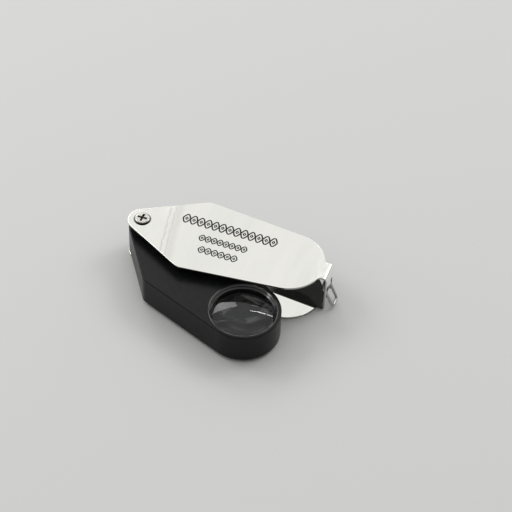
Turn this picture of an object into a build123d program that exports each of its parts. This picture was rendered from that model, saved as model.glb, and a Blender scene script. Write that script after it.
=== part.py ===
from build123d import *
import os
from math import acos, atan2, cos, hypot, radians, sin

# Folding loupe with a lamp. Millimetres, +Z up, +X from the pivot to the end strap.
# The origin is the middle of the bottom plate's resting face.

# ---- driving dimensions -------------------------------------------------------------------------

# cover: one sheet bent into a U, lying on its side
SHEET = 0.8
GAP = 13.5
COVER_TOP = GAP + 2 * SHEET
PIVOT_X = -30.0
COVER_NOSE_R = 4.9
COVER_SHOULDER = (18.4, 15.9)
COVER_END_X = 51.2
COVER_END_R = 12.5
SHOULDER_R = 3.6
STRAP_WIDTH = 7.2
STRAP_FACE = 66.0
STRAP_ROOT = 55.0
BEND_MID_R = 1.1
STRAP_BLEND_R = 1.2
COVER_EDGE_R = 0.2

# pivot: screw, threaded barrel and washers
THREAD_R = 1.25
SCREW_HEAD_R = 2.6
SCREW_HEAD_RISE = 0.75
SCREW_HEAD_ROUND = 0.5
SCREW_LENGTH = 8.0
CROSS_SPAN = 3.3
CROSS_WIDTH = 0.8
CROSS_DEPTH = 0.6
BARREL_R = 2.2
BARREL_FLANGE_R = 2.95
BARREL_RECESS = 0.05
SLOT_WIDTH = 0.6
SLOT_DEPTH = 0.45
RUNNING_FIT = 0.05
WASHER_R = 4.1
LOWER_WASHER = 0.35
DISC_THICKNESS = 0.3
DISC_HEIGHT = 0.75

# body: coffin-shaped shell with a round lens end, swung out of the cover
SWING = -27.2
BODY_BOTTOM = 1.2
BODY_TOP = 11.7
BODY_INSET = 0.3
BODY_END_X = 49.6
BODY_END_R = 12.4
WALL = 1.3
TOP_WALL = 1.1
BODY_EDGE_R = 0.4
BOSS_R = 3.6
BOSS_GAP = 0.05

# lens cell, from the top of the body down
BORE_R = 11.3
BORE_EDGE_R = 0.25
BORE_DEPTH = 2.3
BEZEL_DROP = 0.12
BEZEL_RIM = 0.25
BEZEL_LIP_R = 10.2
BEZEL_STEP = 0.42
BEZEL_RISER = 0.4
LENS_R = 10.5
LENS_SEAT_R = 10.5
TUBE_R = 11.85
LENS_RIM = 1.2
UPPER_CROWN = (1.3, 10.15)
INNER_CROWN = (1.2, 9.5)
LOWER_CROWN = (1.0, 9.8)
SPACER_HEIGHT = 3.0
SPACER_BORE_R = 9.6
RETAINER_HEIGHT = 2.4
RETAINER_BORE_R = 9.9
SPANNER_NOTCH = 1.4

# base plate of the body
BASE = 1.2
BASE_FIT = 0.06
BASE_REACH = 41.0
POST_R = 1.9
POSTS = [(7.4, 0.0), (27.5, 9.5), (27.5, -9.5)]
TAPPING_R = 0.8
TAPPING_HEAD_R = 1.5
TAPPING_LENGTH = 5.5
TAPPING_POINT = 0.8
TAPPING_SPARE = 0.2
HEAD_RECESS = 0.05
DRIVE_SPAN = 1.95
DRIVE_WIDTH = 0.4
DRIVE_DEPTH = 0.6

# battery bay: three cells in a row across the body
CELL_R = 3.95
CELL_LENGTH = 3.6
CELL_COUNT = 3
CELL_STEP = 0.3
BAY_X = 16.9
BAY_HALF_X = 4.3
BAY_HALF_Y = 6.9
BAY_RIB = 0.9
CELL_LIFT = 0.1
CELL_Z = BODY_BOTTOM + BASE + CELL_R + CELL_LIFT
DOOR_FIT = 0.1
DOOR_TAB_X = 24.4
DOOR_TAB_HALF = 2.7
DOOR_TAB_END = 27.0
DOOR_TAB_ROUND = 1.2
DOOR_ROUND = 0.6
TONGUE_REACH = 1.2
TONGUE = 0.7
GROOVE_COUNT = 5
GROOVE_PITCH = 1.2
GROOVE_LENGTH = 8.0
GROOVE_WIDTH = 0.6
GROOVE_DEPTH = 0.3
PLATE = 0.4
LEAF = 0.3
LEAF_HEIGHT = 5.0
LEAF_WIDTH = 7.0
LEAF_BOW = 3.0
LEAF_GAP = 0.03
STRIP_HEIGHT = 1.1
STRIP_DROP = 0.2
STRIP_END = 29.5
STRIP_TAB = 1.2
PASSAGE_WIDTH = 1.2
PASSAGE_HEIGHT = 1.6

# lamp, board and switch
LED_R = 1.5
LED_FLANGE_R = 1.75
LED_TIP = (34.2, 0.0, 1.75)
LED_TILT = 40.0
LED_LENGTH = 4.6
LED_SEAT = 3.8
LED_CLEAR = 1.4
LED_COLLAR = 0.9
LEAD = 0.4
LEAD_PITCH = 1.6
LEAD_X = 31.0
LEAD_STUB = 0.5
RESISTOR = (2.0, 1.2, 0.5)
RESISTOR_PLACE = (33.6, -3.2)
RESISTOR_EDGE = 0.08
BOARD_X = (28.1, 35.7)
BOARD_HALF = 6.6
BOARD_TONGUE_X = (30.2, 35.7)
BOARD_TONGUE_Y = 10.0
BOARD_Z = 6.5
PEGS = [(30.0, 4.6), (30.0, -4.6)]
PEG_R = 1.0
BOARD = 0.8
SWITCH_X = 33.0
SWITCH_Z = 6.9
SWITCH_TRAVEL = 2.0
SWITCH_OVERCUT = 1.0
SLIDER_STEM = (3.0, 2.0)
SLIDER_PLATE = (9.0, 4.4, 0.9)
SLIDER_PROUD = 0.8
SLIDER_FIT = 0.3
SLIDER_SLACK = 0.1
SLIDER_PLATE_ROUND = 0.5
SLIDER_STEM_ROUND = 0.2
RIB_PITCH = 0.9
RIB_GROOVE = 0.35
WIPER = 0.25
WIPER_HEIGHT = 2.0
WIPER_BOW = 1.1
WIPER_END = 2.4
WIPER_FOOT = 1.5
WIPER_CREST = 0.7

# wire link on the strap
WIRE_R = 0.45
LINK_HALF = 2.2
LINK_INNER = 2.9
LINK_OUTER = 6.8
LINK_DROOP = 66.0
LINK_CORNER = 1.2
SLOT_HEIGHT = 5.4
SLOT_HOLE = 1.5

os.makedirs("parts", exist_ok=True)


# ---- helpers ------------------------------------------------------------------------------------

def cover_plane(height, x=0.0):
    """Level plane on the cover, measured from the pivot axis."""
    return Plane((PIVOT_X + x, 0, height))


def body_plane(height, x=0.0, y=0.0):
    """Level plane on the body, measured from the pivot axis and turned with the body."""
    along = Vector(cos(radians(SWING)), sin(radians(SWING)), 0)
    across = Vector(-along.Y, along.X, 0)
    place = Vector(PIVOT_X, 0, height) + along * x + across * y
    return Plane(origin=place, x_dir=along, z_dir=(0, 0, 1))


def tangent_point(corner, centre_x, radius, side):
    """Where the line from a corner touches a circle on the centre line."""
    reach = hypot(corner[0] - centre_x, corner[1])
    heading = atan2(corner[1], corner[0] - centre_x) + side * acos(radius / reach)
    return (centre_x + radius * cos(heading), radius * sin(heading))


def coffin(nose_r, shoulder, end_x, end_r):
    """Outline with a small round nose on the pivot, wide shoulders and a round far end."""
    nose = tangent_point(shoulder, 0, nose_r, 1)
    end = tangent_point(shoulder, end_x, end_r, -1)
    nose_low, shoulder_low, end_low = [(x, -y) for x, y in (nose, shoulder, end)]
    with BuildSketch() as sketch:
        with BuildLine():
            Polyline(nose, shoulder, end)
            ThreePointArc(end, (end_x + end_r, 0), end_low)
            Polyline(end_low, shoulder_low, nose_low)
            ThreePointArc(nose_low, (-nose_r, 0), nose)
        make_face()
        corners = sketch.vertices().sort_by(Axis.Y)
        fillet([corners[0], corners[-1]], radius=SHOULDER_R)
    return sketch.sketch


def body_outline():
    """The body follows the cover's outline a little inside it, and ends in the lens housing."""
    shoulder = (COVER_SHOULDER[0], COVER_SHOULDER[1] - BODY_INSET)
    return coffin(COVER_NOSE_R - BODY_INSET, shoulder, BODY_END_X, BODY_END_R)


def base_outline(clearance):
    """Space inside the side walls, up to the lens tube."""
    with BuildSketch() as sketch:
        add(body_outline())
        offset(amount=-WALL - clearance)
        with Locations((BODY_END_X, 0)):
            Circle(TUBE_R + clearance, mode=Mode.SUBTRACT)
        with Locations((BASE_REACH - clearance, 0)):
            Rectangle(BODY_END_X, 4 * BODY_END_R, align=(Align.MIN, Align.CENTER), mode=Mode.SUBTRACT)
    return sketch.sketch


def door_outline(clearance):
    """Hatch over the cells with a narrow tab for its screw."""
    with BuildSketch() as sketch:
        with Locations((BAY_X, 0)):
            Rectangle(2 * (BAY_HALF_X + clearance), 2 * (BAY_HALF_Y + clearance))
        with Locations((BAY_X, 0)):
            Rectangle(
                DOOR_TAB_END - BAY_X + clearance,
                2 * (DOOR_TAB_HALF + clearance),
                align=(Align.MIN, Align.CENTER),
            )
        fillet(sketch.vertices().group_by(Axis.X)[-1], radius=DOOR_TAB_ROUND)
        fillet(sketch.vertices().group_by(Axis.X)[0], radius=DOOR_ROUND)
    return sketch.sketch


def save(piece, name):
    """Label a finished piece and write it to its own file."""
    piece.part.label = name
    export_step(piece.part, f"parts/{name}.step")


# ---- cover --------------------------------------------------------------------------------------

with BuildPart() as cover:
    for level in (0, COVER_TOP - SHEET):
        with BuildSketch(cover_plane(level)) as plate:
            add(coffin(COVER_NOSE_R, COVER_SHOULDER, COVER_END_X, COVER_END_R))
            with Locations((STRAP_ROOT, 0)):
                Rectangle(
                    STRAP_FACE - BEND_MID_R - SHEET - STRAP_ROOT,
                    STRAP_WIDTH,
                    align=(Align.MIN, Align.CENTER),
                )
            round_end = COVER_END_X + COVER_END_R
            blends = plate.vertices().filter_by_position(Axis.X, STRAP_ROOT, round_end)
            blends = blends.group_by(Axis.X)[0]
            fillet(blends, radius=STRAP_BLEND_R)
        extrude(amount=SHEET)
    with BuildSketch(Plane.XZ):
        with BuildLine():
            FilletPolyline(
                (PIVOT_X + STRAP_ROOT, SHEET / 2),
                (PIVOT_X + STRAP_FACE - SHEET / 2, SHEET / 2),
                (PIVOT_X + STRAP_FACE - SHEET / 2, COVER_TOP - SHEET / 2),
                (PIVOT_X + STRAP_ROOT, COVER_TOP - SHEET / 2),
                radius=BEND_MID_R,
            )
        trace(line_width=SHEET)
    extrude(amount=STRAP_WIDTH / 2, both=True)
    # each edge runs on, tangent all the way, round the strap and along the other plate
    fillet(cover.faces().sort_by(Axis.Z)[-1].edges(), radius=COVER_EDGE_R)
    inner_face = cover.faces().filter_by(Plane.XY).sort_by(Axis.Z)[-2]
    fillet(inner_face.edges(), radius=COVER_EDGE_R)
    with BuildSketch(Plane.YZ.offset(PIVOT_X + STRAP_FACE)):
        with Locations((-LINK_HALF, COVER_TOP / 2), (LINK_HALF, COVER_TOP / 2)):
            SlotOverall(SLOT_HEIGHT, SLOT_HOLE, rotation=90)
    extrude(amount=-2 * SHEET, mode=Mode.SUBTRACT)
    with Locations(cover_plane(COVER_TOP)):
        Hole(THREAD_R, depth=2 * SHEET)
    with Locations(Plane((PIVOT_X, 0, 0), z_dir=(0, 0, -1))):
        CounterSinkHole(BARREL_R, BARREL_R + SHEET, depth=2 * SHEET, counter_sink_angle=90)
save(cover, "cover")

# ---- pivot --------------------------------------------------------------------------------------

with BuildPart() as pivot_screw:
    with BuildSketch(cover_plane(COVER_TOP)):
        Circle(SCREW_HEAD_R)
    extrude(amount=SCREW_HEAD_RISE)
    fillet(pivot_screw.edges().sort_by(Axis.Z)[-1], radius=SCREW_HEAD_ROUND)
    with BuildSketch(cover_plane(COVER_TOP - SCREW_LENGTH)):
        Circle(THREAD_R)
    extrude(amount=SCREW_LENGTH)
    with BuildSketch(cover_plane(COVER_TOP + SCREW_HEAD_RISE)):
        Rectangle(CROSS_SPAN, CROSS_WIDTH)
        Rectangle(CROSS_WIDTH, CROSS_SPAN)
    extrude(amount=-CROSS_DEPTH, mode=Mode.SUBTRACT)
save(pivot_screw, "pivot_screw")

with BuildPart() as pivot_barrel:
    with BuildSketch(Plane((PIVOT_X, 0, 0), x_dir=(1, 0, 0), z_dir=(0, -1, 0))):
        with BuildLine():
            Polyline(
                (THREAD_R, SHEET),
                (THREAD_R, COVER_TOP - SHEET),
                (BARREL_R, COVER_TOP - SHEET),
                (BARREL_R, SHEET),
                (BARREL_FLANGE_R, BARREL_RECESS),
                (0, BARREL_RECESS),
                (0, SHEET),
                close=True,
            )
        make_face()
    revolve(axis=Axis((PIVOT_X, 0, 0), (0, 0, 1)))
    with BuildSketch(cover_plane(BARREL_RECESS)):
        Rectangle(3 * BARREL_R, SLOT_WIDTH)
    extrude(amount=SLOT_DEPTH, mode=Mode.SUBTRACT)
save(pivot_barrel, "pivot_barrel")

with BuildPart() as lower_washer:
    with BuildSketch(cover_plane(SHEET)):
        Circle(WASHER_R)
        Circle(BARREL_R, mode=Mode.SUBTRACT)
    extrude(amount=LOWER_WASHER)
save(lower_washer, "lower_washer")

with BuildPart() as spring_washer:
    disc_low = COVER_TOP - SHEET - DISC_HEIGHT
    with BuildSketch(Plane((PIVOT_X, 0, 0), x_dir=(1, 0, 0), z_dir=(0, -1, 0))):
        with BuildLine():
            Polyline(
                (BARREL_R, disc_low + DISC_HEIGHT - DISC_THICKNESS),
                (WASHER_R, disc_low),
                (WASHER_R, disc_low + DISC_THICKNESS),
                (BARREL_R, disc_low + DISC_HEIGHT),
                close=True,
            )
        make_face()
    revolve(axis=Axis((PIVOT_X, 0, 0), (0, 0, 1)))
save(spring_washer, "spring_washer")

# ---- body shell ---------------------------------------------------------------------------------

BORE_LIP_Z = BODY_TOP - BORE_DEPTH
CEILING = BODY_TOP - TOP_WALL
FLOOR = BODY_BOTTOM + BASE
BOSS_TOP = COVER_TOP - SHEET - DISC_HEIGHT - BOSS_GAP

# the side wall that carries the switch: from the shoulder to the lens end
side_shoulder = (COVER_SHOULDER[0], COVER_SHOULDER[1] - BODY_INSET)
side_end = tangent_point(side_shoulder, BODY_END_X, BODY_END_R, -1)
side_fraction = (SWITCH_X - side_shoulder[0]) / (side_end[0] - side_shoulder[0])
side_y = side_shoulder[1] + side_fraction * (side_end[1] - side_shoulder[1])
side_turn = atan2(side_end[1] - side_shoulder[1], side_end[0] - side_shoulder[0])


def side_plane(depth):
    """Upright plane on the far side wall, this deep under its outer face, x along the wall."""
    along = radians(SWING) + side_turn
    outward = Vector(-sin(along), cos(along), 0)
    centre = body_plane(SWITCH_Z, SWITCH_X, side_y).origin - outward * depth
    return Plane(origin=centre, x_dir=(-cos(along), -sin(along), 0), z_dir=outward)


def led_plane(back):
    """Plane across the lamp, this far behind its tip, facing along its beam."""
    level = body_plane(LED_TIP[2], LED_TIP[0], LED_TIP[1])
    tilt = radians(LED_TILT)
    beam = level.x_dir * sin(tilt) - Vector(0, 0, cos(tilt))
    return Plane(origin=level.origin - beam * back, x_dir=level.y_dir, z_dir=beam)


def bore_rim(shell):
    """Upper edge of the lens bore."""
    level = shell.edges().filter_by(GeomType.CIRCLE).filter_by_position(Axis.Z, BODY_TOP, BODY_TOP)
    return [edge for edge in level if abs(edge.radius - BORE_R) < BORE_EDGE_R]


with BuildPart() as housing_shell:
    with BuildSketch(body_plane(BODY_BOTTOM)):
        add(body_outline())
    extrude(amount=BODY_TOP - BODY_BOTTOM)
    fillet(housing_shell.faces().sort_by(Axis.Z)[-1].edges(), radius=BODY_EDGE_R)
    fillet(housing_shell.faces().sort_by(Axis.Z)[0].edges(), radius=BODY_EDGE_R / 2)
    with BuildSketch(body_plane(BODY_BOTTOM)):
        add(base_outline(0))
    extrude(amount=CEILING - BODY_BOTTOM, mode=Mode.SUBTRACT)
    # pivot tube with its raised boss
    with BuildSketch(body_plane(FLOOR)):
        Circle(BOSS_R)
    extrude(amount=BOSS_TOP - FLOOR)
    # screw posts and the ribs around the cells
    with BuildSketch(body_plane(FLOOR)):
        with Locations(*POSTS, (DOOR_TAB_X, 0)):
            Circle(POST_R)
        with Locations((BAY_X, 0)):
            Rectangle(2 * (BAY_HALF_X + BAY_RIB), 2 * (BAY_HALF_Y + BAY_RIB))
            Rectangle(2 * BAY_HALF_X, 2 * BAY_HALF_Y, mode=Mode.SUBTRACT)
    extrude(amount=CEILING - FLOOR)
    with Locations(body_plane(BOSS_TOP)):
        Hole(BARREL_R + RUNNING_FIT, depth=BOSS_TOP)
    # pegs that the circuit board is pressed against
    with BuildSketch(body_plane(BOARD_Z + BOARD)):
        with Locations(*PEGS):
            Circle(PEG_R)
    extrude(amount=CEILING - BOARD_Z - BOARD)
    # lens bore: wide at the top for the bezel, straight seat below
    with BuildSketch(body_plane(BORE_LIP_Z, BODY_END_X)):
        Circle(BORE_R)
    extrude(amount=BORE_DEPTH, mode=Mode.SUBTRACT)
    fillet(bore_rim(housing_shell), radius=BORE_EDGE_R)
    with BuildSketch(body_plane(BODY_BOTTOM, BODY_END_X)):
        Circle(LENS_SEAT_R)
    extrude(amount=BORE_LIP_Z - BODY_BOTTOM, mode=Mode.SUBTRACT)
    # tapped holes in the posts
    with Locations(*[body_plane(FLOOR, x, y) for x, y in POSTS + [(DOOR_TAB_X, 0)]]):
        Cylinder(
            TAPPING_R,
            TAPPING_LENGTH,
            align=(Align.CENTER, Align.CENTER, Align.MIN),
            mode=Mode.SUBTRACT,
        )
    # slot for the switch
    with BuildSketch(side_plane(-SWITCH_OVERCUT)):
        Rectangle(
            SLIDER_STEM[0] + SWITCH_TRAVEL + 2 * SLIDER_FIT,
            SLIDER_STEM[1] + 2 * SLIDER_FIT,
        )
    extrude(amount=-WALL - 2 * SWITCH_OVERCUT, mode=Mode.SUBTRACT)
    # room in the front rib for the hatch's tongue
    with BuildSketch(body_plane(FLOOR)):
        with Locations((BAY_X - BAY_HALF_X, 0)):
            Rectangle(2 * (TONGUE_REACH + DOOR_FIT), BAY_HALF_Y + 2 * DOOR_FIT)
    extrude(amount=TONGUE + DOOR_FIT, mode=Mode.SUBTRACT)
    # passages in the bay ribs for the contact strips
    with BuildSketch(body_plane(CEILING - PASSAGE_HEIGHT)):
        with Locations((BAY_X + BAY_HALF_X, BAY_HALF_Y), (BAY_X + BAY_HALF_X, -BAY_HALF_Y)):
            Rectangle(4 * BAY_RIB, PASSAGE_WIDTH)
    extrude(amount=PASSAGE_HEIGHT, mode=Mode.SUBTRACT)
save(housing_shell, "housing_shell")

# ---- base plate, hatch and their screws ---------------------------------------------------------

with BuildPart() as housing_base:
    with BuildSketch(body_plane(BODY_BOTTOM)):
        add(base_outline(BASE_FIT))
        Circle(BARREL_R + 2 * RUNNING_FIT, mode=Mode.SUBTRACT)
        add(door_outline(DOOR_FIT), mode=Mode.SUBTRACT)
    extrude(amount=BASE)
    with Locations(*[body_plane(BODY_BOTTOM, x, y) * Rotation(180, 0, 0) for x, y in POSTS]):
        CounterSinkHole(TAPPING_R, TAPPING_HEAD_R, depth=2 * BASE, counter_sink_angle=90)
    # slanted collar and window for the lamp
    with BuildSketch(led_plane(LED_SEAT)):
        Circle(LED_R + LED_COLLAR)
    extrude(amount=LED_SEAT - LED_CLEAR)
    with BuildSketch(led_plane(LED_LENGTH)):
        Circle(LED_R)
    extrude(amount=3 * LED_LENGTH, mode=Mode.SUBTRACT)
save(housing_base, "housing_base")

with BuildPart() as battery_door:
    with BuildSketch(body_plane(BODY_BOTTOM)):
        add(door_outline(0))
    extrude(amount=BASE)
    # tongue that hooks over the base plate
    with BuildSketch(body_plane(FLOOR)):
        with Locations((BAY_X - BAY_HALF_X, 0)):
            Rectangle(2 * TONGUE_REACH, BAY_HALF_Y)
    extrude(amount=TONGUE)
    with Locations(body_plane(BODY_BOTTOM, DOOR_TAB_X) * Rotation(180, 0, 0)):
        CounterSinkHole(TAPPING_R, TAPPING_HEAD_R, depth=2 * BASE, counter_sink_angle=90)
    # thumb grooves
    with BuildSketch(body_plane(BODY_BOTTOM)):
        with GridLocations(GROOVE_PITCH, 0, GROOVE_COUNT, 1):
            with Locations((BAY_X, 0)):
                SlotOverall(GROOVE_LENGTH, GROOVE_WIDTH, rotation=90)
    extrude(amount=GROOVE_DEPTH, mode=Mode.SUBTRACT)
save(battery_door, "battery_door")


def tapping_screw(x, y):
    """Countersunk self-tapping screw driven up into a post, its head flush under the plate."""
    tip = BASE + TAPPING_LENGTH - TAPPING_SPARE
    with BuildPart() as screw:
        with BuildSketch(Plane.XZ):
            with BuildLine():
                Polyline(
                    (0, HEAD_RECESS),
                    (TAPPING_HEAD_R - HEAD_RECESS, HEAD_RECESS),
                    (TAPPING_R, TAPPING_HEAD_R - TAPPING_R),
                    (TAPPING_R, tip - TAPPING_POINT),
                    (0, tip),
                    close=True,
                )
            make_face()
        revolve(axis=Axis.Z)
        with BuildSketch(Plane.XY.offset(HEAD_RECESS)):
            Rectangle(DRIVE_SPAN, DRIVE_WIDTH)
            Rectangle(DRIVE_WIDTH, DRIVE_SPAN)
        extrude(amount=DRIVE_DEPTH, mode=Mode.SUBTRACT)
    return screw.part.moved(body_plane(BODY_BOTTOM, x, y).location)


with BuildPart() as housing_screws:
    for post_x, post_y in POSTS:
        add(tapping_screw(post_x, post_y))
save(housing_screws, "housing_screws")

with BuildPart() as door_screw:
    add(tapping_screw(DOOR_TAB_X, 0))
save(door_screw, "door_screw")

# ---- lens cell ----------------------------------------------------------------------------------

UPPER_RIM_Z = BORE_LIP_Z - LENS_RIM
SPACER_Z = UPPER_RIM_Z - SPACER_HEIGHT
LOWER_RIM_Z = SPACER_Z - LENS_RIM
RETAINER_Z = LOWER_RIM_Z - RETAINER_HEIGHT

lens_centre = body_plane(0, BODY_END_X).origin
lens_profile = Plane(origin=lens_centre, x_dir=(1, 0, 0), z_dir=(0, -1, 0))
lens_axis = Axis(lens_centre, (0, 0, 1))


def lens_section(rim_low, crown_up, crown_down):
    """Half section of a lens. A crown is a (rise, radius) pair inside the flat land of the rim."""
    rim_high = rim_low + LENS_RIM
    rise_up, radius_up = crown_up
    rise_down, radius_down = crown_down
    with BuildSketch() as section:
        with BuildLine():
            TangentArc((0, rim_high + rise_up), (radius_up, rim_high), tangent=(1, 0))
            Polyline(
                (radius_up, rim_high),
                (LENS_R, rim_high),
                (LENS_R, rim_low),
                (radius_down, rim_low),
            )
            TangentArc((0, rim_low - rise_down), (radius_down, rim_low), tangent=(1, 0))
            Line((0, rim_low - rise_down), (0, rim_high + rise_up))
        make_face()
    return section.sketch


with BuildPart() as lens_bezel:
    bezel_top = BODY_TOP - BEZEL_DROP
    with BuildSketch(lens_profile):
        with BuildLine():
            Polyline(
                (BORE_R, BORE_LIP_Z),
                (BORE_R, bezel_top),
                (BORE_R - BEZEL_RIM, bezel_top),
                (BEZEL_LIP_R + BEZEL_STEP, bezel_top - BEZEL_STEP),
                (BEZEL_LIP_R + BEZEL_STEP, bezel_top - BEZEL_STEP - BEZEL_RISER),
                (BEZEL_LIP_R, bezel_top - 2 * BEZEL_STEP - BEZEL_RISER),
                (BEZEL_LIP_R, BORE_LIP_Z),
                close=True,
            )
        make_face()
    revolve(axis=lens_axis)
save(lens_bezel, "lens_bezel")

with BuildPart() as upper_lens:
    with BuildSketch(lens_profile):
        add(lens_section(UPPER_RIM_Z, UPPER_CROWN, INNER_CROWN))
    revolve(axis=lens_axis)
save(upper_lens, "upper_lens")

with BuildPart() as lower_lens:
    with BuildSketch(lens_profile):
        add(lens_section(LOWER_RIM_Z, INNER_CROWN, LOWER_CROWN))
    revolve(axis=lens_axis)
save(lower_lens, "lower_lens")

with BuildPart() as lens_spacer:
    with BuildSketch(body_plane(SPACER_Z, BODY_END_X)):
        Circle(LENS_R)
        Circle(SPACER_BORE_R, mode=Mode.SUBTRACT)
    extrude(amount=SPACER_HEIGHT)
save(lens_spacer, "lens_spacer")

with BuildPart() as lens_retainer:
    with BuildSketch(body_plane(RETAINER_Z, BODY_END_X)):
        Circle(LENS_R)
        Circle(RETAINER_BORE_R, mode=Mode.SUBTRACT)
    extrude(amount=RETAINER_HEIGHT)
    # two notches for a ring spanner
    with BuildSketch(body_plane(RETAINER_Z, BODY_END_X)):
        Rectangle(SPANNER_NOTCH, 3 * LENS_R)
    extrude(amount=SPANNER_NOTCH / 2, mode=Mode.SUBTRACT)
save(lens_retainer, "lens_retainer")

# ---- battery cells and contacts -----------------------------------------------------------------

CELLS_START = PLATE - BAY_HALF_Y


def cell_plane(y):
    """Upright plane across the row of cells, facing along the row."""
    level = body_plane(CELL_Z, BAY_X, y)
    return Plane(origin=level.origin, x_dir=level.x_dir, z_dir=level.y_dir)


for number in range(CELL_COUNT):
    with BuildPart() as battery_cell:
        start = CELLS_START + number * CELL_LENGTH
        with BuildSketch(cell_plane(start)):
            Circle(CELL_R)
        extrude(amount=CELL_LENGTH - CELL_STEP)
        chamfer(battery_cell.edges(), length=CELL_STEP / 2)
        with BuildSketch(cell_plane(start + CELL_LENGTH - CELL_STEP)):
            Circle(CELL_R - 2 * CELL_STEP)
        extrude(amount=CELL_STEP)
    save(battery_cell, f"battery_cell_{number + 1}")


def contact_outline():
    """Flat contact seen along the row of cells, with a riser, a strip and a tab for the board."""
    strip_top = CEILING - STRIP_DROP
    with BuildSketch() as outline:
        with Locations((BAY_X, CELL_Z)):
            Rectangle(LEAF_WIDTH, LEAF_HEIGHT)
        with Locations((BAY_X, strip_top)):
            Rectangle(STRIP_TAB, strip_top - CELL_Z, align=(Align.CENTER, Align.MAX))
            Rectangle(STRIP_END - BAY_X, STRIP_HEIGHT, align=(Align.MIN, Align.MAX))
        with Locations((STRIP_END, strip_top)):
            Rectangle(STRIP_TAB, strip_top - BOARD_Z, align=(Align.MAX, Align.MAX))
    return outline.sketch


def contact_plane(y):
    """Upright plane along the body at the end of the row of cells."""
    level = body_plane(0, 0, y)
    return Plane(origin=level.origin, x_dir=level.x_dir, z_dir=-level.y_dir)


with BuildPart() as contact_plate:
    with BuildSketch(contact_plane(LEAF - BAY_HALF_Y)):
        add(contact_outline())
    extrude(amount=LEAF)
    with BuildSketch(contact_plane(CELLS_START)):
        with Locations((BAY_X, CELL_Z)):
            Circle(LEAF_HEIGHT / 2)
    extrude(amount=PLATE - LEAF)
save(contact_plate, "contact_plate")

with BuildPart() as contact_spring:
    with BuildSketch(contact_plane(BAY_HALF_Y)):
        add(contact_outline())
    extrude(amount=LEAF)
    # bowed leaf that presses on the last cell
    leaf_root = BAY_HALF_Y - LEAF
    leaf_touch = CELLS_START + CELL_COUNT * CELL_LENGTH + LEAF / 2 + LEAF_GAP
    with BuildSketch(body_plane(CELL_Z - LEAF_HEIGHT / 4)):
        with BuildLine():
            ThreePointArc(
                (BAY_X - LEAF_BOW, leaf_root),
                (BAY_X, leaf_touch),
                (BAY_X + LEAF_BOW, leaf_root - LEAF),
            )
        trace(line_width=LEAF)
    extrude(amount=LEAF_HEIGHT / 2)
save(contact_spring, "contact_spring")

# ---- lamp and circuit board ---------------------------------------------------------------------

with BuildPart() as led:
    with BuildSketch(led_plane(LED_LENGTH)):
        Circle(LED_FLANGE_R)
    extrude(amount=LED_LENGTH - LED_SEAT)
    with BuildSketch(led_plane(LED_SEAT)):
        Circle(LED_R)
    extrude(amount=LED_SEAT - LED_R)
    with Locations(led_plane(LED_R)):
        Sphere(LED_R)
    with BuildSketch(body_plane(BOARD_Z + BOARD + LEAD_STUB, LEAD_X)):
        with GridLocations(0, LEAD_PITCH, 1, 2):
            Rectangle(LEAD, LEAD)
    extrude(amount=LED_TIP[2] + LED_FLANGE_R - BOARD_Z + BOARD / 2)
save(led, "led")

with BuildPart() as circuit_board:
    with BuildSketch(body_plane(BOARD_Z)):
        with Locations((BOARD_X[0], -BOARD_HALF)):
            Rectangle(BOARD_X[1] - BOARD_X[0], 2 * BOARD_HALF, align=(Align.MIN, Align.MIN))
        with Locations((BOARD_TONGUE_X[0], 0)):
            Rectangle(
                BOARD_TONGUE_X[1] - BOARD_TONGUE_X[0],
                BOARD_TONGUE_Y,
                align=(Align.MIN, Align.MIN),
            )
        with Locations((LEAD_X, 0)):
            with GridLocations(0, LEAD_PITCH, 1, 2):
                Rectangle(LEAD, LEAD, mode=Mode.SUBTRACT)
    extrude(amount=BOARD)
save(circuit_board, "circuit_board")

with BuildPart() as resistor:
    with BuildSketch(body_plane(BOARD_Z + BOARD, *RESISTOR_PLACE)):
        Rectangle(RESISTOR[0], RESISTOR[1])
    extrude(amount=RESISTOR[2])
    chamfer(resistor.edges().group_by(Axis.Z)[-1], length=RESISTOR_EDGE)
save(resistor, "resistor")

# ---- switch -------------------------------------------------------------------------------------

with BuildPart() as switch_slider:
    with BuildSketch(side_plane(WALL + SLIDER_SLACK)):
        with Locations((SWITCH_TRAVEL / 2, 0)):
            RectangleRounded(SLIDER_PLATE[0], SLIDER_PLATE[1], SLIDER_PLATE_ROUND)
    extrude(amount=-SLIDER_PLATE[2])
    with BuildSketch(side_plane(WALL + SLIDER_SLACK)):
        with Locations((SWITCH_TRAVEL / 2, 0)):
            RectangleRounded(SLIDER_STEM[0], SLIDER_STEM[1], SLIDER_STEM_ROUND)
    extrude(amount=WALL + SLIDER_SLACK + SLIDER_PROUD)
    with BuildSketch(side_plane(-SLIDER_PROUD)):
        with Locations((SWITCH_TRAVEL / 2, 0)):
            with GridLocations(RIB_PITCH, 0, 3, 1):
                Rectangle(RIB_GROOVE, 2 * SLIDER_STEM[1])
    extrude(amount=-RIB_GROOVE, mode=Mode.SUBTRACT)
save(switch_slider, "switch_slider")

with BuildPart() as switch_wiper:
    seat = side_plane(WALL + SLIDER_SLACK + SLIDER_PLATE[2])
    wiper_middle = -SWITCH_TRAVEL / 2
    level = Plane(origin=seat.origin, x_dir=-seat.x_dir, z_dir=(0, 0, 1))
    with BuildSketch(level.offset(-WIPER_HEIGHT / 2)):
        with BuildLine():
            FilletPolyline(
                (wiper_middle - WIPER_END, -WIPER / 2),
                (wiper_middle - WIPER_FOOT, -WIPER / 2),
                (wiper_middle - WIPER_CREST, -WIPER / 2 - WIPER_BOW),
                (wiper_middle + WIPER_CREST, -WIPER / 2 - WIPER_BOW),
                (wiper_middle + WIPER_FOOT, -WIPER / 2),
                (wiper_middle + WIPER_END, -WIPER / 2),
                radius=WIPER,
            )
        trace(line_width=WIPER)
    extrude(amount=WIPER_HEIGHT)
save(switch_wiper, "switch_wiper")

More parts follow.
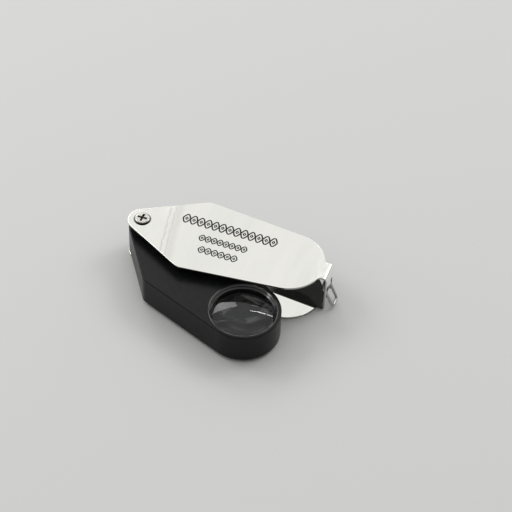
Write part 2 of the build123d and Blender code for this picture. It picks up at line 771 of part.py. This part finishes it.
# ---- wire link ----------------------------------------------------------------------------------

droop = radians(LINK_DROOP)
link_plane = Plane(
    origin=(PIVOT_X + STRAP_FACE - SHEET / 2, 0, COVER_TOP / 2),
    x_dir=(cos(droop), 0, -sin(droop)),
    z_dir=(sin(droop), 0, cos(droop)),
)

with BuildPart() as link:
    with BuildLine(link_plane) as wire:
        FilletPolyline(
            (LINK_OUTER, LINK_HALF),
            (LINK_OUTER, -LINK_HALF),
            (-LINK_INNER, -LINK_HALF),
            (-LINK_INNER, LINK_HALF),
            radius=LINK_CORNER,
            close=True,
        )
    with BuildSketch(Plane(origin=wire.line @ 0, z_dir=wire.line % 0)):
        Circle(WIRE_R)
    sweep()
save(link, "link")
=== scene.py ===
"""Folding viewing loupe: materials, enamel ornament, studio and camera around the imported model."""

import math

import bpy
from mathutils import Matrix, Quaternion, Vector


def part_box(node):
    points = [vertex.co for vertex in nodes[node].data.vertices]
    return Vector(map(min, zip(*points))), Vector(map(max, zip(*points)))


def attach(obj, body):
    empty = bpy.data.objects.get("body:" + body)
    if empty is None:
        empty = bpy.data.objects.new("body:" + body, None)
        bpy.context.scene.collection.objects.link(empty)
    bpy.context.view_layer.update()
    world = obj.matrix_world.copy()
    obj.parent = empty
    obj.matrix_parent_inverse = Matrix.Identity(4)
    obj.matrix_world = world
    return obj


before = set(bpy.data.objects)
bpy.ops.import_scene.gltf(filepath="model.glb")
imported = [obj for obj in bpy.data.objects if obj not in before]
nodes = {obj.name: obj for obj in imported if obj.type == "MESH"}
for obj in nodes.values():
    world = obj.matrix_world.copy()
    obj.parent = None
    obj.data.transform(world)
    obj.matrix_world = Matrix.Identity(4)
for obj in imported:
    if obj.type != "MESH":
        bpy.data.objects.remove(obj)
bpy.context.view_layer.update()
MM = 0.001

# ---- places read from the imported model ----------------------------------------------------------

cover_low, cover_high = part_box("cover")
screw_low, screw_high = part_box("pivot_screw")
PIVOT_X = (screw_low.x + screw_high.x) / 2
HEAD_R = (screw_high.x - screw_low.x) / 2
PLATE_TOP = cover_high.z
SHEET = 0.8 * MM
STRAP_INNER = cover_high.x - SHEET

# ---- the cover's inside, in mm --------------------------------------------------------------------

# the inside is painted dark, a painted reflection of dark surroundings, where y + BAND_SLOPE * x is past
# BAND_EDGE, and the painted dark fades in along x towards the strap
BAND_SLOPE = 0.1
BAND_EDGE = -1.05
BAND_SOFT = 0.25
PAINTED_DARK_FADE = (6.0, 19.0)
LIP_RISE = 0.2

# painted reflection streaks across the top plate: distance from the pivot, half width, and strength
PAINTED_STREAKS = ((8.6, 0.5, 0.7), (10.4, 0.45, 0.6), (11.6, 2.6, 0.42))
PAINTED_STREAK_LEAN = 0.19
PAINTED_STREAK_WOBBLE = 0.22

# height of the painted shade in the driver's cross over the plate, from its dark floor to its unshaded
# rim
CROSS_PAINTED_SHADE = (0.3, 0.7)

# enamel ornament
ENAMEL_RISE = 0.012
BEAD_WIDTH = 0.16
BEAD_HEIGHT = 0.34
WAVE_STEPS = 12

# ---- studio and camera --------------------------------------------------------------------------

FLOOR_HALF = 1.5
FLOOR_DROP = 0.02 * MM
PANELS = (
    ("edge_panel", (-0.85, -0.4, 0.5), (0.15, 0.5), 0.7),
    ("left_panel", (-0.78, 0.14, 0.62), (0.45, 0.45), 2.4),
    ("window_panel", (-0.5, 0.63, 0.595), (0.38, 0.27), 1.0),
    ("door_panel", (-0.069, 0.785, 0.616), (0.14, 0.1), 0.1),
    ("right_panel", (0.45, 0.55, 0.7), (0.4, 0.4), 1.6),
)
STRIP_START = (-0.115, 0.66, 0.742)
STRIP_END = (0.166, 0.696, 0.698)
STRIP_WIDTH = 0.018
STRIP_POWER = 0.22
BRIGHT_SIDE = (-0.25, 0.7, 0.67)
WALL_DARK = (0.26, 0.26, 0.26, 1)
WALL_BRIGHT = (0.86, 0.86, 0.85, 1)
CAMERA_AZIMUTH = 17.84
CAMERA_ELEVATION = 46.75
CAMERA_ROLL = 2.62
CAMERA_AIM = (11.0, -2.1, 15.1)
CAMERA_REACH = 0.5617
CAMERA_LENS = 120.6
CAMERA_SENSOR = 36


# ---- shader helpers -----------------------------------------------------------------------------

class Look:
    """A Principled material whose patterns are laid out in millimetres on the piece itself."""

    def __init__(self, name, color, roughness, metallic=0.0, **sockets):
        self.material = bpy.data.materials.new(name)
        self.material.use_nodes = True
        self.tree = self.material.node_tree
        self.shader = self.tree.nodes["Principled BSDF"]
        self.set("Base Color", (*color, 1))
        self.set("Roughness", roughness)
        self.set("Metallic", metallic)
        for socket, value in sockets.items():
            self.set(socket.replace("_", " "), value)
        place = self.node("ShaderNodeTexCoord").outputs["Object"]
        scaled = self.node("ShaderNodeVectorMath", operation="SCALE")
        self.join(place, scaled.inputs[0])
        scaled.inputs["Scale"].default_value = 1 / MM
        self.place = scaled.outputs[0]

    def node(self, kind, **settings):
        made = self.tree.nodes.new(kind)
        for key, value in settings.items():
            setattr(made, key, value)
        return made

    def join(self, output, socket):
        self.tree.links.new(output, socket)

    def set(self, socket, value):
        self.shader.inputs[socket].default_value = value

    def feed(self, output, socket):
        self.join(output, self.shader.inputs[socket])

    def stretched(self, scale):
        """The millimetre coordinates with each axis multiplied by its own number."""
        made = self.node("ShaderNodeVectorMath", operation="MULTIPLY")
        self.join(self.place, made.inputs[0])
        made.inputs[1].default_value = scale
        return made.outputs[0]

    def noise(self, scale, detail=3.0, rough=0.55, place=None):
        made = self.node("ShaderNodeTexNoise")
        self.join(place or self.place, made.inputs["Vector"])
        made.inputs["Scale"].default_value = scale
        made.inputs["Detail"].default_value = detail
        made.inputs["Roughness"].default_value = rough
        return made.outputs["Fac"]

    def ramp(self, value, *stops):
        """Colour ramp through (position, colour) stops; a plain number is a grey."""
        made = self.node("ShaderNodeValToRGB")
        self.join(value, made.inputs["Fac"])
        steps = made.color_ramp.elements
        while len(steps) < len(stops):
            steps.new(0.5)
        for step, (position, color) in zip(steps, stops):
            step.position = position
            step.color = (color, color, color, 1) if isinstance(color, float) else (*color, 1)
        return made.outputs["Color"]

    def span(self, value, low, high, out_low=0.0, out_high=1.0):
        """Smooth step from out_low to out_high while the value goes from low to high."""
        made = self.node("ShaderNodeMapRange", interpolation_type="SMOOTHSTEP")
        self.join(value, made.inputs["Value"])
        limits = {"From Min": low, "From Max": high, "To Min": out_low, "To Max": out_high}
        for socket, number in limits.items():
            made.inputs[socket].default_value = number
        return made.outputs["Result"]

    def math(self, operation, a, b=0):
        made = self.node("ShaderNodeMath", operation=operation)
        for socket, value in zip(made.inputs, (a, b)):
            if isinstance(value, (int, float)):
                socket.default_value = value
            else:
                self.join(value, socket)
        return made.outputs[0]

    def product(self, first, *others):
        for other in others:
            first = self.math("MULTIPLY", first, other)
        return first

    def mix(self, share, a, b):
        made = self.node("ShaderNodeMix", data_type="RGBA", blend_type="MIX")
        for name, value in (("Factor_Float", share), ("A_Color", a), ("B_Color", b)):
            socket = next(s for s in made.inputs if s.identifier == name)
            if isinstance(value, tuple):
                socket.default_value = (*value, 1)
            elif isinstance(value, (int, float)):
                socket.default_value = value
            else:
                self.join(value, socket)
        return next(s for s in made.outputs if s.identifier == "Result_Color")

    def axis(self, letter, source=None):
        made = self.node("ShaderNodeSeparateXYZ")
        self.join(source or self.place, made.inputs[0])
        return made.outputs[letter]

    def facing(self, letter):
        """The surface direction's share along one axis, in the piece's own frame."""
        normal = self.node("ShaderNodeTexCoord").outputs["Normal"]
        return self.axis(letter, normal)

    def bump(self, height, depth_mm, strength=1.0, under=None):
        """Bump from a height of 0 to 1 and its depth, on top of another bump if one is given."""
        made = self.node("ShaderNodeBump")
        made.inputs["Strength"].default_value = strength
        made.inputs["Distance"].default_value = depth_mm * MM
        self.join(height, made.inputs["Height"])
        if under is not None:
            self.join(under, made.inputs["Normal"])
        self.feed(made.outputs["Normal"], "Normal")
        return made.outputs["Normal"]


def wear(*names, look):
    """Give CAD nodes a look."""
    for name in names:
        slots = nodes[name].material_slots
        if slots:
            for slot in slots:
                slot.link = "OBJECT"
                slot.material = look.material
        else:
            nodes[name].data.materials.append(look.material)


# ---- metals -------------------------------------------------------------------------------------

def cut_faces(look):
    """One on the sheet's cut faces: upright faces round the plates, and the strap's two sides."""
    level = look.math("ABSOLUTE", look.facing("Z"))
    sideways = look.math("ABSOLUTE", look.facing("Y"))
    upright = look.span(level, 0.1, 0.45, 1.0, 0.0)
    on_strap = look.span(look.axis("X"), STRAP_INNER / MM - 2.2, STRAP_INNER / MM - 1.8)
    off_strap = look.math("SUBTRACT", 1.0, on_strap)
    strap_side = look.span(sideways, 0.7, 0.9)
    return look.product(upright, look.math("MAXIMUM", off_strap, strap_side))


def across_band(look):
    """Distance in mm across the bright band on the cover's inside."""
    lean = look.product(look.axis("X"), BAND_SLOPE)
    return look.math("ADD", look.axis("Y"), lean)


def painted_dark_reflection(look):
    """One where the inside of the strap and of the bottom plate near it gets a painted dark reflection,
    behind the bright band.
    """
    top_low, top_high = (PLATE_TOP - 1.2 * SHEET) / MM, (PLATE_TOP - 0.9 * SHEET) / MM
    behind = look.span(across_band(look), BAND_EDGE - BAND_SOFT, BAND_EDGE)
    above = look.span(look.axis("Z"), 0.55, 0.7)
    below = look.span(look.axis("Z"), top_low, top_high, 1.0, 0.0)
    inside = look.span(look.axis("X"), STRAP_INNER / MM + 0.1, STRAP_INNER / MM + 0.3, 1.0, 0.0)
    near_strap = look.span(look.axis("X"), *PAINTED_DARK_FADE)
    return look.product(behind, above, below, inside, near_strap)


def rolled_lip(look):
    """Height in mm of the bottom plate's inner face, which rises a little to its mouth-side edge."""
    past = look.math("SUBTRACT", BAND_EDGE, across_band(look))
    rise = look.product(look.math("MAXIMUM", past, 0.0), LIP_RISE)
    inner = look.span(look.axis("Z"), 0.6, 0.75)
    low = look.span(look.axis("Z"), 2.0, 3.0, 1.0, 0.0)
    return look.product(rise, inner, low)


def head_shadow(look):
    """One on the dirt and shadow gathered round the screw head."""
    along = look.math("SUBTRACT", look.axis("X"), PIVOT_X / MM)
    across = look.axis("Y")
    square = look.math("ADD", look.product(along, along), look.product(across, across))
    away = look.math("SUBTRACT", look.math("SQRT", square), HEAD_R / MM)
    return look.span(away, 0.2, 0.5, 1.0, 0.0)


def polished_steel():
    """Mirror-polished stamped sheet with polishing bands, hairline scratches and finger smudges; its
    colour also holds painted reflection streaks, dirt with painted shadow round the screw head and a
    painted dark reflection on the inside.
    """
    look = Look("polished_steel", (0.92, 0.92, 0.88), 0.09, 1.0)
    bands = look.noise(1.0, 2.0, place=look.stretched((0.16, 0.03, 0.03)))
    smudge = look.noise(0.09, 4.0, 0.6)
    base = look.ramp(
        bands,
        (0.3, (0.9, 0.9, 0.855)),
        (0.5, (0.93, 0.93, 0.885)),
        (0.7, (0.95, 0.94, 0.9)),
    )
    along = look.math("SUBTRACT", look.axis("X"), PIVOT_X / MM)
    track = look.math("ADD", along, look.product(look.axis("Y"), PAINTED_STREAK_LEAN))
    wobble = look.span(look.noise(0.35, 2.0), 0.3, 0.7, -PAINTED_STREAK_WOBBLE, PAINTED_STREAK_WOBBLE)
    track = look.math("ADD", track, wobble)
    # painted reflection streaks: darker bands in the colour across the plate near the pivot
    for centre, width, depth in PAINTED_STREAKS:
        offset = look.math("ABSOLUTE", look.math("SUBTRACT", track, centre))
        painted_streak = look.span(offset, 0, width, depth, 0.0)
        base = look.mix(painted_streak, base, (0.7, 0.71, 0.66))
    base = look.mix(look.product(head_shadow(look), 0.85), base, (0.05, 0.05, 0.045))
    base = look.mix(look.product(cut_faces(look), 0.8), base, (0.3, 0.3, 0.29))
    # painted dark reflection: the cover's inside behind the bright band is painted near black
    base = look.mix(painted_dark_reflection(look), base, (0.02, 0.02, 0.0195))
    look.feed(base, "Base Color")
    hairlines = look.noise(1.0, 4.0, 0.7, place=look.stretched((0.25, 9.0, 9.0)))
    fine = look.ramp(hairlines, (0.35, 0.04), (0.7, 0.09))
    greasy = look.ramp(smudge, (0.4, 0.04), (0.7, 0.13))
    look.feed(look.mix(0.5, fine, greasy), "Roughness")
    scratched = look.bump(hairlines, 0.0012)
    look.bump(rolled_lip(look), 1.0, under=scratched)
    return look


def plated_steel():
    """Bright plating, turned rings on the face and painted shade down in the driver's cross."""
    look = Look("plated_steel", (0.5, 0.49, 0.46), 0.22, 1.0)
    grain = look.noise(6.0, 3.0)
    floor, rim = (PLATE_TOP / MM + height for height in CROSS_PAINTED_SHADE)
    # painted shade: the driver's cross darkens towards its floor
    depth = look.span(look.axis("Z"), floor, rim)
    unshaded_plating = look.ramp(grain, (0.3, (0.4, 0.39, 0.36)), (0.7, (0.56, 0.55, 0.51)))
    look.feed(look.mix(depth, (0.03, 0.028, 0.025), unshaded_plating), "Base Color")
    look.feed(look.ramp(grain, (0.3, 0.16), (0.75, 0.32)), "Roughness")
    look.bump(grain, 0.004)
    return look


def brushed_metal(name, dark, light, rough, stretch):
    """Metal with a drawn or brushed grain."""
    look = Look(name, light, rough, 1.0)
    grain = look.noise(1.0, 4.0, 0.65, place=look.stretched(stretch))
    look.feed(look.ramp(grain, (0.3, dark), (0.7, light)), "Base Color")
    look.feed(look.ramp(grain, (0.25, rough * 0.7), (0.75, rough * 1.4)), "Roughness")
    look.bump(grain, 0.003)
    return look


def black_chrome():
    """Dark bright plating with fine turned rings."""
    look = Look("bezel_chrome", (0.12, 0.12, 0.12), 0.16, 1.0)
    rings = look.noise(1.0, 3.0, 0.6, place=look.stretched((0.25, 0.25, 9.0)))
    look.feed(look.ramp(rings, (0.35, (0.07, 0.07, 0.07)), (0.65, (0.17, 0.17, 0.168))), "Base Color")
    look.feed(look.ramp(rings, (0.3, 0.12), (0.7, 0.26)), "Roughness")
    look.bump(rings, 0.004)
    return look


# ---- plastics, glass and the rest ---------------------------------------------------------------

def moulded_plastic(name, dark, light, rough, grain_mm, depth_mm, specular=0.5):
    """Moulded plastic: fine tool grain, slow gloss variation, light dust in the grain."""
    look = Look(name, light, rough, 0.0, Specular_IOR_Level=specular)
    grain = look.noise(1 / grain_mm, 2.0, 0.5)
    sheen = look.noise(0.15, 3.0)
    look.feed(look.ramp(look.noise(0.5, 5.0, 0.7), (0.35, dark), (0.75, light)), "Base Color")
    slow = look.ramp(sheen, (0.3, rough * 0.8), (0.7, rough * 1.25))
    fine = look.ramp(grain, (0.3, rough * 0.85), (0.7, rough * 1.2))
    look.feed(look.mix(0.5, slow, fine), "Roughness")
    look.bump(grain, depth_mm)
    return look


def lens_glass():
    """Optical glass with a grey tint that is painted shade, darkening what is seen through it, with a
    faint coating bloom and a few specks of dust.
    """
    # painted shade: the grey base colour darkens everything seen through the lens
    look = Look("lens_glass", (0.27, 0.28, 0.285), 0.0, 0.0, Transmission_Weight=1.0, IOR=1.46)
    dust = look.noise(3.0, 6.0, 0.75)
    look.feed(look.ramp(dust, (0.66, 0.0), (0.78, 0.06)), "Roughness")
    return look


def lamp_resin():
    """Clear cast resin, a little cloudy."""
    look = Look("led_resin", (0.93, 0.95, 0.97), 0.04, 0.0, Transmission_Weight=0.7, IOR=1.53)
    cloud = look.ramp(look.noise(1.2, 3.0), (0.3, (0.86, 0.9, 0.92)), (0.7, (0.96, 0.97, 0.98)))
    look.feed(cloud, "Base Color")
    return look


def solder_mask():
    """Glossy green mask over the board's weave."""
    look = Look("board_green", (0.02, 0.16, 0.07), 0.3, 0.0, Coat_Weight=0.4)
    weave = look.noise(3.5, 2.0)
    look.feed(look.ramp(weave, (0.35, (0.012, 0.11, 0.045)), (0.7, (0.03, 0.2, 0.09))), "Base Color")
    look.bump(weave, 0.006)
    return look


def ornament_enamel():
    """Baked black enamel in the fine engraved lines."""
    look = Look("ornament_enamel", (0.015, 0.015, 0.014), 0.5, 0.0, Specular_IOR_Level=0.2)
    speck = look.noise(9.0, 3.0)
    look.feed(look.ramp(speck, (0.3, (0.008, 0.008, 0.008)), (0.75, (0.025, 0.025, 0.023))), "Base Color")
    look.bump(speck, 0.004)
    return look


# ---- what wears what ------------------------------------------------------------------------------

DRAWN = (0.3, 6.0, 6.0)
wear("cover", look=polished_steel())
wear("pivot_screw", look=plated_steel())
wear(
    "pivot_barrel", "door_screw",
    look=brushed_metal("turned_steel", (0.42, 0.41, 0.38), (0.6, 0.59, 0.55), 0.24, (6.0, 6.0, 6.0)),
)
wear(
    "spring_washer",
    look=brushed_metal("spring_steel", (0.3, 0.3, 0.31), (0.5, 0.5, 0.51), 0.32, (3.0, 3.0, 12.0)),
)
wear(
    "lower_washer",
    look=moulded_plastic("slip_plastic", (0.7, 0.69, 0.64), (0.82, 0.81, 0.77), 0.45, 0.2, 0.004),
)
wear(
    "housing_shell", "housing_base", "battery_door",
    look=moulded_plastic(
        "black_plastic", (0.004, 0.0043, 0.0043), (0.009, 0.0095, 0.0095), 0.3, 0.14, 0.003, 0.18
    ),
)
wear(
    "housing_screws",
    look=brushed_metal("black_screw_steel", (0.015, 0.015, 0.016), (0.05, 0.05, 0.052), 0.35, (5, 5, 5)),
)
wear("upper_lens", "lower_lens", look=lens_glass())
wear("lens_bezel", look=black_chrome())
wear(
    "lens_spacer",
    look=moulded_plastic("black_spacer", (0.006, 0.006, 0.006), (0.014, 0.014, 0.014), 0.6, 0.1, 0.006),
)
wear(
    "lens_retainer",
    look=brushed_metal("black_ring", (0.02, 0.02, 0.021), (0.05, 0.05, 0.052), 0.4, (2, 2, 9)),
)
wear("led", look=lamp_resin())
wear("circuit_board", look=solder_mask())
wear(
    "resistor",
    look=moulded_plastic("resistor_ceramic", (0.04, 0.04, 0.045), (0.09, 0.09, 0.1), 0.35, 0.08, 0.003),
)
wear(
    "battery_cell_1", "battery_cell_2", "battery_cell_3",
    look=brushed_metal("cell_steel", (0.5, 0.5, 0.48), (0.72, 0.72, 0.7), 0.26, DRAWN),
)
wear(
    "contact_plate", "contact_spring",
    look=brushed_metal("contact_nickel", (0.52, 0.51, 0.46), (0.74, 0.72, 0.67), 0.24, DRAWN),
)
wear(
    "switch_wiper",
    look=brushed_metal("contact_brass", (0.55, 0.4, 0.16), (0.8, 0.63, 0.32), 0.24, DRAWN),
)
wear(
    "switch_slider",
    look=moulded_plastic("slider_plastic", (0.012, 0.012, 0.013), (0.03, 0.03, 0.032), 0.5, 0.12, 0.006),
)
wear(
    "link",
    look=brushed_metal("link_wire", (0.3, 0.3, 0.295), (0.46, 0.46, 0.45), 0.2, (1.2, 1.2, 1.2)),
)


# ---- enamel ornament on the top plate -----------------------------------------------------------

def enamel_lines(name, paths, width):
    """Flat enamel lines on the top plate. A path is (points in mm from the pivot, closed)."""
    curve = bpy.data.curves.new(name, "CURVE")
    curve.dimensions = "3D"
    curve.bevel_depth = width / 2
    curve.bevel_resolution = 2
    curve.use_fill_caps = True
    for points, closed in paths:
        spline = curve.splines.new("POLY")
        spline.points.add(len(points) - 1)
        for point, (x, y) in zip(spline.points, points):
            point.co = (x, y, 0, 1)
        spline.use_cyclic_u = closed
    source = bpy.data.objects.new(name + "_path", curve)
    bpy.context.scene.collection.objects.link(source)
    bpy.context.view_layer.update()
    settled = source.evaluated_get(bpy.context.evaluated_depsgraph_get())
    mesh = bpy.data.meshes.new_from_object(settled)
    bpy.data.objects.remove(source)
    flat = ENAMEL_RISE / (width / 2)
    for vertex in mesh.vertices:
        x, y, z = vertex.co
        vertex.co = (PIVOT_X + x * MM, y * MM, PLATE_TOP + z * flat * MM)
    mesh.polygons.foreach_set("use_smooth", [True] * len(mesh.polygons))
    piece = bpy.data.objects.new(name, mesh)
    bpy.context.scene.collection.objects.link(piece)
    piece.data.materials.clear()
    piece.data.materials.append(enamel.material)
    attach(piece, "cover")


def braid(start, end, middle, half, pitch):
    """Two crossing waves between two ends, with a lozenge in every eye."""
    length = end - start
    count = round(length / pitch)
    pitch = length / count
    steps = WAVE_STEPS * count
    paths = []
    for sign in (1, -1):
        wave = []
        for step in range(steps + 1):
            along = length * step / steps
            wave.append((start + along, middle + sign * half * math.sin(math.pi * along / pitch)))
        paths.append((wave, False))
    w, h = BEAD_WIDTH * pitch, BEAD_HEIGHT * half
    for number in range(count):
        x = start + (number + 0.5) * pitch
        lozenge = [(x - w, middle), (x, middle + h), (x + w, middle), (x, middle - h)]
        paths.append((lozenge, True))
    return paths


enamel = ornament_enamel()
enamel_lines("ornament_upper", braid(12.4, 45.6, 5.75, 1.9, 2.6), 0.52)
enamel_lines("ornament_middle", braid(20.6, 37.4, -0.85, 1.3, 2.2), 0.44)
enamel_lines("ornament_lower", braid(22.2, 35.8, -5.95, 1.35, 2.2), 0.44)


# ---- studio -------------------------------------------------------------------------------------

def add_floor():
    """Plain pale tabletop just under the resting face."""
    half = FLOOR_HALF
    corners = [(-half, -half, 0), (half, -half, 0), (half, half, 0), (-half, half, 0)]
    mesh = bpy.data.meshes.new("floor")
    mesh.from_pydata(corners, [], [(0, 1, 2, 3)])
    floor = bpy.data.objects.new("floor", mesh)
    floor.location.z = -FLOOR_DROP
    bpy.context.scene.collection.objects.link(floor)
    look = Look("floor_paper", (0.62, 0.62, 0.615), 0.7, 0.0, Specular_IOR_Level=0.2)
    look.bump(look.noise(0.35, 2.0), 0.006, 0.3)
    mesh.materials.append(look.material)


def add_panel(name, place, size, power):
    """Soft rectangular light panel, turned to the origin."""
    light = bpy.data.lights.new(name, "AREA")
    light.shape = "RECTANGLE"
    light.size, light.size_y = size
    light.energy = power
    panel = bpy.data.objects.new(name, light)
    panel.location = place
    panel.rotation_mode = "QUATERNION"
    panel.rotation_quaternion = (-Vector(place)).to_track_quat("-Z", "Y")
    bpy.context.scene.collection.objects.link(panel)


def add_strip(name, start, end, width, power):
    """Narrow light tube between two points, turned to the origin."""
    start, end = Vector(start), Vector(end)
    light = bpy.data.lights.new(name, "AREA")
    light.shape = "RECTANGLE"
    light.size, light.size_y = (end - start).length, width
    light.energy = power
    strip = bpy.data.objects.new(name, light)
    middle = (start + end) / 2
    along = (end - start).normalized()
    back = (middle - along * middle.dot(along)).normalized()
    strip.matrix_world = Matrix((along, back.cross(along), back)).transposed().to_4x4()
    strip.location = middle
    bpy.context.scene.collection.objects.link(strip)


def add_world():
    """Pale studio walls, brighter on one side and a little brighter overhead."""
    world = bpy.data.worlds.new("studio")
    world.use_nodes = True
    tree = world.node_tree
    back = tree.nodes["Background"]
    way = tree.nodes.new("ShaderNodeTexCoord")
    toward = tree.nodes.new("ShaderNodeVectorMath")
    toward.operation = "DOT_PRODUCT"
    toward.inputs[1].default_value = Vector(BRIGHT_SIDE).normalized()
    span = tree.nodes.new("ShaderNodeMapRange")
    span.interpolation_type = "SMOOTHSTEP"
    span.inputs["From Min"].default_value = -0.1
    span.inputs["From Max"].default_value = 0.85
    ramp = tree.nodes.new("ShaderNodeValToRGB")
    tree.links.new(way.outputs["Generated"], toward.inputs[0])
    tree.links.new(toward.outputs["Value"], span.inputs["Value"])
    tree.links.new(span.outputs["Result"], ramp.inputs["Fac"])
    low, high = ramp.color_ramp.elements
    low.position, high.position = 0.0, 1.0
    low.color, high.color = WALL_DARK, WALL_BRIGHT
    split = tree.nodes.new("ShaderNodeSeparateXYZ")
    overhead = tree.nodes.new("ShaderNodeMapRange")
    overhead.interpolation_type = "SMOOTHSTEP"
    limits = {"From Min": 0.8, "From Max": 0.98, "To Min": 1.0, "To Max": 1.3}
    for socket, number in limits.items():
        overhead.inputs[socket].default_value = number
    tree.links.new(way.outputs["Generated"], split.inputs[0])
    tree.links.new(split.outputs["Z"], overhead.inputs["Value"])
    tree.links.new(ramp.outputs["Color"], back.inputs["Color"])
    tree.links.new(overhead.outputs["Result"], back.inputs["Strength"])
    bpy.context.scene.world = world


def add_camera():
    """Three-quarter view from above, turned a little about its own axis."""
    data = bpy.data.cameras.new("camera")
    data.lens, data.sensor_width = CAMERA_LENS, CAMERA_SENSOR
    data.clip_start, data.clip_end = 0.01, 10
    camera = bpy.data.objects.new("camera", data)
    azimuth, elevation = math.radians(CAMERA_AZIMUTH), math.radians(CAMERA_ELEVATION)
    level = math.cos(elevation)
    back = Vector((math.sin(azimuth) * level, -math.cos(azimuth) * level, math.sin(elevation)))
    camera.location = Vector(CAMERA_AIM) * MM + back * CAMERA_REACH
    roll = Quaternion((0, 0, 1), math.radians(CAMERA_ROLL))
    camera.rotation_mode = "QUATERNION"
    camera.rotation_quaternion = back.to_track_quat("Z", "Y") @ roll
    bpy.context.scene.collection.objects.link(camera)
    bpy.context.scene.camera = camera


add_floor()
add_world()
for panel in PANELS:
    add_panel(*panel)
add_strip("strip_light", STRIP_START, STRIP_END, STRIP_WIDTH, STRIP_POWER)
add_camera()
bpy.context.scene.view_settings.view_transform = "Standard"
